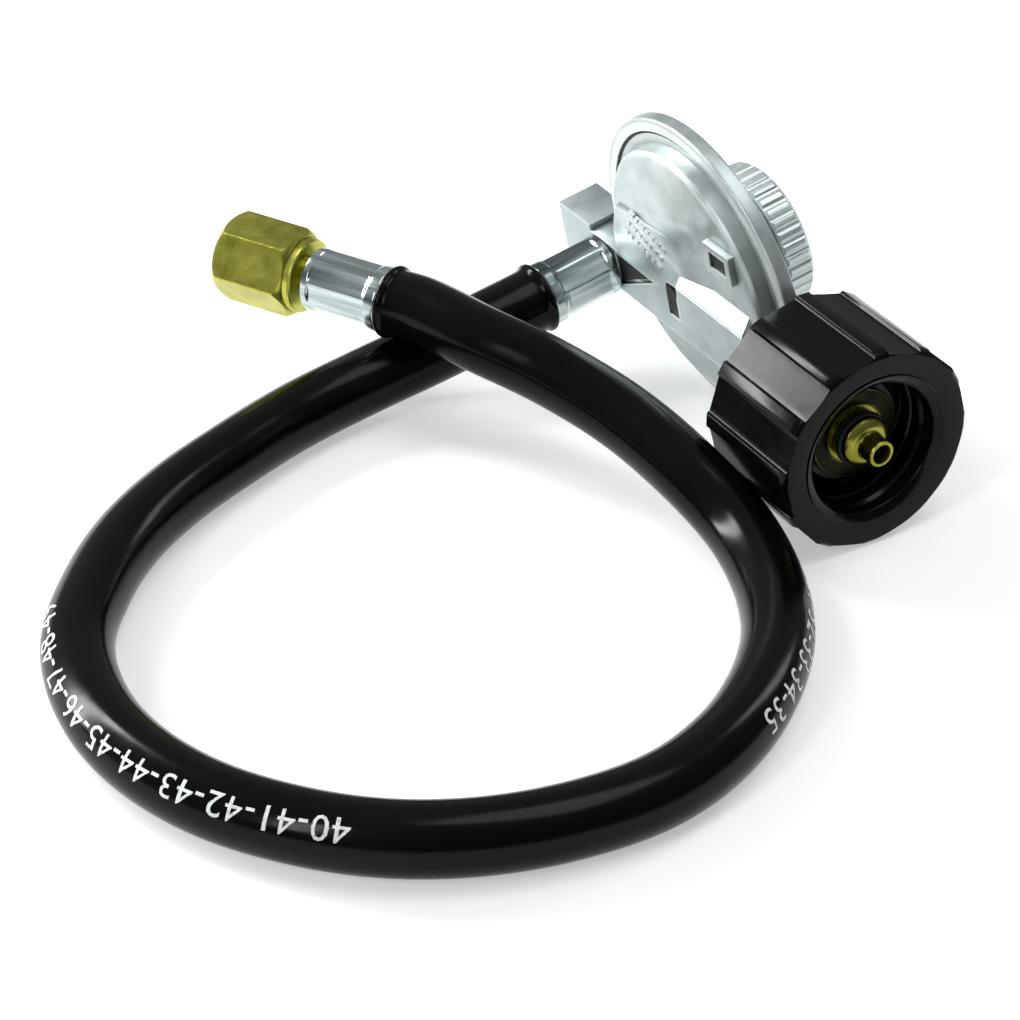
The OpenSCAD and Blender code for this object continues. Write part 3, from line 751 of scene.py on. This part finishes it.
# %% A solid with softened edges
def with_soft_edges(name, source, width, body, material, segments=2, angle=24):
    """A welded copy of a CAD node with its sharp edges rounded."""
    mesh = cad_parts[source].data.copy()
    mesh.name = name
    work = bmesh.new()
    work.from_mesh(mesh)
    bmesh.ops.remove_doubles(work, verts=work.verts, dist=1e-6)
    bmesh.ops.dissolve_limit(work, angle_limit=math.radians(0.6), verts=work.verts,
                             edges=work.edges)
    work.to_mesh(mesh)
    work.free()
    mesh.materials.clear()
    mesh.materials.append(material)
    piece = bpy.data.objects.new(name, mesh)
    scene.collection.objects.link(piece)
    bevel = piece.modifiers.new("soft_edges", "BEVEL")
    bevel.width = width * MM
    bevel.segments = segments
    bevel.limit_method = "ANGLE"
    bevel.angle_limit = math.radians(angle)
    bevel.use_clamp_overlap = True
    bpy.context.view_layer.update()
    graph = bpy.context.evaluated_depsgraph_get()
    final = bpy.data.meshes.new_from_object(piece.evaluated_get(graph))
    piece.modifiers.clear()
    piece.data = final
    final.name = name
    final.polygons.foreach_set("use_smooth", [True] * len(final.polygons))
    final.set_sharp_from_angle(angle=math.radians(32))
    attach(piece, body)
    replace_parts(piece, source)
    print(name, len(final.polygons), "faces")
    return piece


with_soft_edges("zinc_casting", "body", 0.35, "regulator", ZINC)

# %% [markdown]
# The spine is thicker from the recess to the inlet, with a square lower face and a
# slope over it. Thin black sheets of seal rubber lie in the recesses and in the joint
# inside the crimped rim as painted shade, and make them read as deep.


# %% Prisms on the casting
def prism(name, section, low, high, along, place, material):
    """A flat outline of (x, y or z) points, drawn out between two places along Y or X."""
    work = bmesh.new()
    rows = [[work.verts.new((a, end, b) if along == "Y" else (end, a, b)) for a, b in section]
            for end in (low, high)]
    work.faces.new(rows[0])
    work.faces.new(rows[1])
    for i in range(len(section)):
        j = (i + 1) % len(section)
        work.faces.new((rows[0][i], rows[0][j], rows[1][j], rows[1][i]))
    bmesh.ops.recalc_face_normals(work, faces=work.faces)
    bmesh.ops.bevel(work, geom=work.edges[:], offset=0.08 if along == "X" else 0.3, segments=2,
                    affect="EDGES", clamp_overlap=True)
    mesh = bpy.data.meshes.new(name)
    work.to_mesh(mesh)
    work.free()
    return make_piece(name, mesh, place, "regulator",
                      material)


SPINE_X = -4.5
prism("spine_web", [(SPINE_X - 0.05, -5.6), (SPINE_X - 0.05, 9.2), (-1.4, 13.8), (0, 13.8),
                    (0, -5.6)], -27, 0.6, "Y", REGULATOR, ZINC)
# Painted shade: thin dark sheets in three recesses of the casting.
prism("painted_shade_outlet_recess", [(27.3, 5.0), (27.3, -3.4), (12.4, 5.0)],
      SPINE_X + 0.5, SPINE_X + 0.95, "X", REGULATOR, SEAL)
prism("painted_shade_slot", [(1.1, -0.9), (5.3, -0.9), (5.3, 7.6), (1.1, 6.6)],
      SPINE_X + 0.35, SPINE_X + 1.1, "X", REGULATOR, SEAL)
prism("painted_shade_lug_recess", [(-22.2, 23.2), (-15.8, 23.2), (-15.8, 27.4), (-22.2, 27.4)],
      -2.75, -2.42, "X", REGULATOR, SEAL)
# Painted shade: a thin dark ring in the joint inside the crimped rim.
make_piece("painted_shade_crimp_joint", turned_mesh("painted_shade_crimp_joint", softened([
    (2.6, 33.75), (2.6, 34.3), (2.9, 34.3), (2.9, 33.75)], 0.08, 2), "X", 192),
    DISC, "regulator", SEAL)

# %% Bonnet and its vent
NECK_R = 15.2
bonnet = make_piece("zinc_bonnet", turned_mesh("zinc_bonnet", softened([
    (4.22, 36.6, 0.1), (5.58, 36.6, 0.1), (5.58, 31.6, 0.6), (6.3, 31.3, 1.2), (12.4, 21.1, 1.6),
    (13.1, 19.4, 0.8), (14.4, 16.8, 0.8), (14.4, NECK_R, 0.4), (20.9, NECK_R, 0.5),
    (20.9, 11.8, 0.2), (11.0, 11.8, 0.2), (11.0, 15.0, 0.3), (6.0, 27.5, 0.6), (4.62, 27.5, 0.1),
    (4.62, 34.76, 0.05), (4.22, 34.76, 0.05)], 0.3, 4), "X", 160),
    DISC, "regulator", BONNET_ZINC)
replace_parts(bonnet, "bonnet")
make_piece("vent_boss", turned_mesh("vent_boss", softened([
    (7.5, 3.6), (13.0, 3.6, 0.4), (13.0, 2.4, 0.2), (11.5, 2.4, 0.1), (11.5, 1.2, 0.1),
    (7.5, 1.2)], 0.1, 4), "X", 48),
    DISC @ Matrix.Translation((0, 21, -13)), "regulator", ZINC)

# %% Crimped rim
rim = make_piece("crimped_rim", turned_mesh("crimped_rim", softened([
    (2.3, 34.35, 0.2), (2.3, 37.7, 0.75), (6.1, 37.7, 0.75), (6.1, 34.35, 0.2),
    (5.62, 34.35, 0.12), (5.62, 36.72, 0.05), (2.78, 36.72, 0.05), (2.78, 34.35, 0.12)],
    0.2, 5), "X", 192), DISC, "regulator", ZINC)
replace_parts(rim, "crimp_ring")

# %% [markdown]
# ## The closing cap
#
# The cap over the adjusting screw has 36 fine grip ribs, each a flat top with a groove
# beside it. One rib and its groove make the sector that goes round.

# %% Cap
CAP_R = 17.8
CAP_RIBS = 36
CAP_SHAPE = softened([
    (-5, 0.4, 0), (-3.6, 0.35, 0.6), (-2.2, 0, 0.6), (2.2, 0, 0.6), (3.6, 0.35, 0.6),
    (5, 0.4, 0)], 0.3, 3, closed=False)
cap_front = [(23.2, 16.0), (23.15, 16.35), (22.95, 16.7), (22.6, 17.1), (22.2, 17.5),
             (21.7, 17.8)]
cap_back = [(15.5, 16.9), (15.55, 17.15), (15.8, 17.45), (16.2, 17.8)]
cap_columns = []
for degrees, drop in CAP_SHAPE:
    outer = CAP_R - drop
    profile = chamfered(outer, cap_back) + chamfered(outer, cap_front)[::-1]
    profile += softened([(23.2, 12.0), (22.65, 11.9), (22.65, 0, 0), (21.65, 0, 0),
                         (21.65, 15.26), (15.5, 15.26)], 0.3, 2)
    cap_columns.append((math.radians(degrees), profile))
cap = make_piece(
    "closing_cap_ribbed", repeated("closing_cap", cap_columns, CAP_RIBS, 0.004, CAP_ZINC),
    DISC, "cap", CAP_ZINC, 26)
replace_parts(cap, "closing_cap")

# %% [markdown]
# ## The crimped ferrules
#
# Each ferrule was a plain steel sleeve until jaws pressed eight flats into it. Ridges
# are left between the jaws, and the open mouth flares a little where the hose goes in.
# A column of the sector knows how deep the jaw has pressed at its own angle.

# %% Ferrules
FERRULE_R = 7.6
FLATS = 8
HALF_FLAT = 180 / FLATS
HALF_STEPS = 12


def ferrule_columns(length):
    columns = []
    for step in range(-HALF_STEPS, HALF_STEPS + 1):
        degrees = step * HALF_FLAT / HALF_STEPS
        flat = (FERRULE_R - 0.42) / math.cos(math.radians(degrees))
        ridge = max(0, 1 - (HALF_FLAT - abs(degrees)) / 3.2)
        pressed = min(FERRULE_R - 0.08, flat - 0.12 * (1 - ridge) + 0.1 * ridge)
        columns.append((math.radians(degrees), softened([
            (0, 3.25, 0.1), (0, 7.7, 0.25), (0.4, 7.9, 0.3), (2.7, 7.84, 0.35),
            (3.7, pressed, 0.7), (length - 2.3, pressed, 0.5), (length - 1.7, FERRULE_R, 0.3),
            (length - 0.1, FERRULE_R, 0.35), (length, 6.2, 0.3), (length, 3.25, 0.1)], 0.2, 3)))
    return columns


def make_ferrule(name, replaced, length, place, material):
    mesh = repeated(name, ferrule_columns(length), FLATS, 0.003, material)
    made = make_piece(name, mesh, place, "regulator", material, 26)
    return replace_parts(made, replaced)


make_ferrule("outlet_ferrule_crimped", "outlet_ferrule", 18.2, OUTLET_MOUTH, STEEL_OUTLET)
flare_ferrule = make_ferrule("flare_ferrule_crimped", "flare_ferrule", 20.5, FREE_END, STEEL_FREE)

# %% [markdown]
# The hose is squeezed inside the ferrule and swells just outside it, in a narrow lip.
# The lip is a turned ring that starts flush with the hose behind it.

# %% The swollen lips of the hose
LIP = softened([(-3.4, 7.6, 0), (-3.4, 7.93, 0), (-2.2, 8.0, 1.0), (-1.4, 8.65, 0.6),
                (-0.5, 8.7, 0.5), (-0.02, 8.1, 0.3), (-0.02, 7.5, 0)], 0.2, 5)
lips = [make_piece(name, turned_mesh(name, LIP, "X", 96), place, "regulator",
                   RUBBER, 50)
        for name, place in (("hose_lip_outlet", OUTLET_MOUTH), ("hose_lip_free_end", FREE_END))]

# %% [markdown]
# ## The flare nut
#
# The nut is cut from hexagon bar. Chamfers at both ends meet the flats in curves, a
# round collar stands behind it, and its bore has the thread for the appliance. The
# columns of one sixth stop their chamfers at the flat's own radius at that angle.

# %% Flare nut
NUT_FLAT = 9.5
NUT_CORNER = 10.97
NUT_BACK = 22.5
NUT_FRONT = 44
NUT_TURN = math.radians(26)
nut_columns = []
for degrees in (-30, -29.6, -29.1, -28.4, -27, -24, -18, -12, -6, 0, 6, 12, 18, 24, 27, 28.4,
                29.1, 29.6, 30):
    outer = min(NUT_FLAT / math.cos(math.radians(degrees)), NUT_CORNER - 0.12
                - 0.02 * max(0, abs(degrees) - 28.5))
    rear = chamfered(outer, [(24.5, 9.0), (24.5, 9.2), (24.62, 9.5), (25.0, 10.0), (25.7, 10.6),
                             (26.3, 11.0)])
    front = chamfered(outer, [(NUT_FRONT, 8.6), (NUT_FRONT, 9.15), (43.85, 9.45), (43.5, 9.9),
                              (42.9, 10.4), (42.0, 11.0)])
    bore = [(43.95, 8.2), (43.0, 7.3), (33.1, 7.3), (33.1, 7.5), (27.5, 7.5), (27.5, 4.87),
            (NUT_BACK, 4.87), (NUT_BACK, 8.5), (22.7, 8.85), (23.1, 9.0)]
    nut_columns.append((math.radians(degrees), rear + front[::-1] + bore))
nut_place = FREE_END @ Matrix.Rotation(NUT_TURN, 4, "X")
flare_nut = make_piece(
    "flare_nut_hex", repeated("flare_nut", nut_columns, 6, 0.003, BRASS_NUT),
    nut_place, "flare_nut", BRASS_NUT, 20)
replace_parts(flare_nut, "flare_nut")
nut_thread = make_piece(
    "flare_nut_thread_coil", winding("flare_nut_thread", 7.55, 9.4, 6.6, 0.62, 6, BRASS_NUT),
    FREE_END @ Matrix.Translation((33.6, 0, 0)) @ Z_TO_X,
    "flare_nut", BRASS_NUT, 50)

# %% [markdown]
# ## The hose's print
#
# Hoses carry a running row of length marks in white ink. The numbers are plain. The
# text is made a mesh, cut finely both ways so it can bend, and each point is wrapped
# on the hose: along its line, and round it by the height of the letter.

# %% Distances along the hose
marks = [0.0]
for first, second in zip(hose_line, hose_line[1:]):
    marks.append(marks[-1] + (second - first).length)


def hose_frame(distance):
    """The hose's middle, its heading, its outward side and its top, at a distance."""
    i = max(1, min(len(marks) - 1, next((k for k, m in enumerate(marks) if m >= distance),
                                        len(marks) - 1)))
    part = (distance - marks[i - 1]) / (marks[i] - marks[i - 1])
    middle = hose_line[i - 1].lerp(hose_line[i], part)
    before = hose_line[max(i - 3, 0)]
    after = hose_line[min(i + 2, len(hose_line) - 1)]
    heading = (after - before).normalized()
    outward = heading.cross(Vector((0, 0, 1))).normalized()
    return middle, heading, outward, outward.cross(heading)


def between_marks(value, table):
    """A value read from a table of (place, value) pairs, with straight lines between."""
    for (a, va), (b, vb) in zip(table, table[1:]):
        if a <= value <= b:
            return va + (vb - va) * (value - a) / (b - a)
    return table[0][1] if value < table[0][0] else table[-1][1]


# How far round the hose the print sits, as (distance along, degrees up from its side)
PRINT_TURN = [(140, 30), (170, 38), (190, 36), (210, 34), (265, 43), (350, 30), (385, 24),
              (418, 10)]
PRINT_CELL = 0.8
PRINT_ROWS = 8
INK_LIFT = 0.06


# %% Wrapping print round the hose
def hose_print(name, text, start, height, spacing=1.0):
    """Plain numbers that start at a distance along the hose and run back along it."""
    curve = bpy.data.curves.new(name, "FONT")
    curve.body = text
    curve.size = 1
    curve.space_character = spacing
    curve.resolution_u = 3
    carrier = bpy.data.objects.new(name + "_text", curve)
    scene.collection.objects.link(carrier)
    bpy.context.view_layer.update()
    graph = bpy.context.evaluated_depsgraph_get()
    mesh = bpy.data.meshes.new_from_object(carrier.evaluated_get(graph))
    bpy.data.objects.remove(carrier)
    mesh.transform(Matrix.Scale(height / max(v.co.y for v in mesh.vertices), 4))
    work = bmesh.new()
    work.from_mesh(mesh)
    width = max(v.co.x for v in work.verts)
    for k in range(1, int(width / PRINT_CELL) + 1):
        bmesh.ops.bisect_plane(work, geom=work.verts[:] + work.edges[:] + work.faces[:],
                               plane_co=(k * PRINT_CELL, 0, 0), plane_no=(1, 0, 0))
    for k in range(1, PRINT_ROWS):
        bmesh.ops.bisect_plane(work, geom=work.verts[:] + work.edges[:] + work.faces[:],
                               plane_co=(0, k * height / PRINT_ROWS, 0), plane_no=(0, 1, 0))
    for v in work.verts:
        place = start - v.co.x
        middle, heading, outward, top = hose_frame(place)
        angle = math.radians(between_marks(place, PRINT_TURN)) - (v.co.y - height / 2) / HOSE_R
        normal = math.cos(angle) * outward + math.sin(angle) * top
        v.co = middle + (HOSE_R + INK_LIFT) * normal
    bmesh.ops.triangulate(work, faces=work.faces)
    work.to_mesh(mesh)
    work.free()
    mesh.transform(METRES)
    mesh.materials.clear()
    mesh.materials.append(INK)
    print(name, "runs", round(width, 1), "mm")
    return riding(name, mesh, "regulator")


front_print = hose_print("hose_marks_front", "40-41-42-43-44-45-46-47-48-49", 268, 5.2, 1.06)
side_print = hose_print("hose_marks_side", "30-31-32-33-34-35", 418, 5.2, 1.06)

# %% [markdown]
# ## Raised marks on the casting
#
# A foundry leaves raised marks on a housing. Here they are a block of short plain bars,
# laid out by Geometry Nodes with a fixed seed for their lengths.

# %% The facet above the spine
FACET_RISE = math.atan2(2.9, 12)
FACET = (REGULATOR @ Matrix.Translation((0, 4, 6)) @ Matrix.Rotation(math.radians(17), 4, "X")
         @ Matrix.Translation((SPINE_X, 0, 0)) @ Matrix.Rotation(FACET_RISE, 4, "Y")
         @ Matrix.Rotation(-math.pi / 2, 4, "Y") @ Matrix.Rotation(-math.pi / 2, 4, "Z"))
print("facet", [round(c, 4) for c in FACET.translation])


# %% A block of raised bars
bars, start, end = new_tree("rows_of_bars", [
    ("Rows", "Int", 3), ("Bars", "Int", 7), ("Step", "Vector", (2.0, 2.0, 0)),
    ("Bar", "Vector", (1.2, 0.7, 0.5)), ("Seed", "Int", 4), ("Material", "Material", None)])
steps = node(bars, "ShaderNodeSeparateXYZ", _0=start.outputs["Step"])
last_bar = node(bars, "ShaderNodeMath", {"operation": "SUBTRACT"}, _0=start.outputs["Bars"], _1=1.0)
last_row = node(bars, "ShaderNodeMath", {"operation": "SUBTRACT"}, _0=start.outputs["Rows"], _1=1.0)
wide = node(bars, "ShaderNodeMath", {"operation": "MULTIPLY"}, _0=steps.outputs[0],
            _1=last_bar.outputs[0])
high = node(bars, "ShaderNodeMath", {"operation": "MULTIPLY"}, _0=steps.outputs[1],
            _1=last_row.outputs[0])
layout = node(bars, "GeometryNodeMeshGrid", Size_X=wide.outputs[0], Size_Y=high.outputs[0],
              Vertices_X=start.outputs["Bars"], Vertices_Y=start.outputs["Rows"])
brick = node(bars, "GeometryNodeMeshCube", Size=start.outputs["Bar"])
length = node(bars, "FunctionNodeRandomValue", {"data_type": "FLOAT"}, Seed=start.outputs["Seed"])
length.inputs[2].default_value = 0.5
length.inputs[3].default_value = 1.45
scale = node(bars, "ShaderNodeCombineXYZ", X=length.outputs[1])
scale.inputs[1].default_value = 1
scale.inputs[2].default_value = 1
placed = node(bars, "GeometryNodeInstanceOnPoints", Points=layout.outputs[0],
              Instance=brick.outputs[0], Scale=scale.outputs[0])
finish_tree(bars, placed.outputs[0], start, end)
make_piece("raised_bars", grown(
    bars, bpy.data.meshes.new("raised_bars"), Rows=3, Bars=7, Seed=4, Material=ZINC,
    Step=(2.2, 2.6, 0), Bar=(1.4, 1.0, 0.7)), FACET @ Matrix.Translation((-12, 6.0, 0)),
    "regulator", ZINC, 30)

# %% [markdown]
# ## Springs and small inner parts
#
# The parts inside show when the regulator is taken apart. Both springs are wound again
# by the coil tree with a round wire.
# The rest keep their solids and get their finish.

# %% Springs
def spring_steel():
    f = Finish("spring_steel", 1.0, 0.32)
    grain = f.noise(600, 4, 0.6)
    f.colour(f.blend(f.spread(grain, 0.35, 0.65), srgb(118, 122, 126), srgb(176, 180, 184)))
    f.roughness(f.spread(grain, 0.3, 0.7, 0.26, 0.42))
    f.bump(grain, 0.1, 0.00005)
    return f.material


SPRING = spring_steel()
main_spring = make_piece(
    "main_spring_wound", winding("main_spring", 8, 7.5, 3.5, 0.65, 14, SPRING),
    DISC @ Matrix.Translation((6.1, 0, 0)) @ Z_TO_X,
    "regulator", SPRING, 50)
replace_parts(main_spring, "main_spring")
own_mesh(main_spring)
flow_spring = make_piece(
    "flow_spring_wound", winding("flow_spring", 2.3, 3.9, 4, 0.28, 10, SPRING),
    REGULATOR @ Matrix.Translation((0, -59.85, 0)) @ Z_TO_Y,
    "regulator", SPRING, 50)
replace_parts(flow_spring, "flow_spring")
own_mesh(flow_spring)

# %% Finishes of the solids that stay
KEPT = {
    "port_plug": STEEL, "passage_plug": STEEL, "diaphragm": SEAL, "diaphragm_plate": STEEL,
    "spring_seat": STEEL, "adjusting_screw": STEEL, "cap_gasket": SEAL, "valve_lever": STEEL,
    "lever_pin": STEEL, "valve_plug": BRASS_INLET, "seat_disc": SEAL,
    "inlet_orifice": BRASS_INLET, "nipple_seal": SEAL, "thermal_bushing": BUSHING,
    "flow_poppet": BRASS_INLET, "outlet_barb": STEEL_OUTLET, "flare_stem": BRASS_NUT,
    "vent_screen": STEEL,
}
for name, material in KEPT.items():
    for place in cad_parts[name].material_slots:
        place.material = material
print("kept solids", len(KEPT))

# %% [markdown]
# ## Floor and light
#
# A pale floor runs far behind the part. It is seen a little brighter than it is lit,
# so it comes out white, while the shadows under the hose and the wheel stay soft grey.
# One long leaning softbox behind and to the left draws the highlights on the black
# things, two small ones at the sides follow the bends, a wide weak one hangs over all,
# and the sky brightens to the top and the rear.

# %% Floor
FLOOR_LIFT = 0.42
floor_mesh = bpy.data.meshes.new("floor")
floor_mesh.from_pydata([(-4, -4, 0), (4, -4, 0), (4, 4, 0), (-4, 4, 0)], [], [(0, 1, 2, 3)])
floor_mesh.transform(Matrix.Translation((0, 0, -0.0002)))
floor = bpy.data.objects.new("floor", floor_mesh)
scene.collection.objects.link(floor)
pale = Finish("pale_floor", 0.0, 0.9, 0.0)
pale.colour(pale.blend(pale.noise(3, 2), (0.78, 0.78, 0.79, 1), (0.8, 0.8, 0.8, 1)))
rays = pale.add("ShaderNodeLightPath").outputs
seen = pale.maths("MAXIMUM", rays["Is Camera Ray"], rays["Is Glossy Ray"])
seen = pale.maths("MAXIMUM", seen, rays["Is Transmission Ray"])
pale.shader.inputs["Emission Color"].default_value = (1, 1, 1, 1)
pale.put(pale.shader.inputs["Emission Strength"], pale.maths("MULTIPLY", seen, FLOOR_LIFT))
floor_mesh.materials.append(pale.material)

# %% World
world = bpy.data.worlds.new("sloping_sky")
scene.world = world
world.use_nodes = True
sky = world.node_tree
background = sky.nodes["Background"]
background.inputs["Color"].default_value = (0.97, 0.985, 1.0, 1)
heading = sky.nodes.new("ShaderNodeTexCoord")
toward = sky.nodes.new("ShaderNodeVectorMath")
toward.operation = "DOT_PRODUCT"
toward.inputs[1].default_value = (-0.15, 0.45, 0.88)
level = sky.nodes.new("ShaderNodeMapRange")
level.inputs["From Min"].default_value = -0.2
level.inputs["From Max"].default_value = 0.95
level.inputs["To Min"].default_value = 0.12
level.inputs["To Max"].default_value = 0.45
sky.links.new(heading.outputs["Generated"], toward.inputs[0])
sky.links.new(toward.outputs["Value"], level.inputs["Value"])
sky.links.new(level.outputs["Result"], background.inputs["Strength"])


# %% Softboxes
def softbox(name, place, target, width, height, power, upright=(0, 0, 1)):
    """A lamp that faces its target, with its height along a chosen way."""
    back = (Vector(place) - Vector(target)).normalized()
    side = Vector(upright).cross(back).normalized()
    light = bpy.data.lights.new(name, "AREA")
    light.shape = "RECTANGLE"
    light.size = width
    light.size_y = height
    light.energy = power
    lamp = bpy.data.objects.new(name, light)
    turned = Matrix((side, back.cross(side), back)).transposed().to_4x4()
    lamp.matrix_world = Matrix.Translation(place) @ turned
    scene.collection.objects.link(lamp)


softbox("softbox_key", (-0.786, 1.081, 0.681), (0, 0, 0), 0.22, 1.3, 26, (0.557, -0.081, 0.826))
softbox("softbox_left", (-1.08, -0.44, 0.77), (-0.05, 0, 0), 0.18, 0.6, 4)
softbox("softbox_right", (1.1, 0.09, 0.75), (0, 0, 0), 0.18, 0.6, 2)
softbox("softbox_top", (0.3, -0.3, 1.6), (0, 0, 0), 0.9, 0.9, 7)
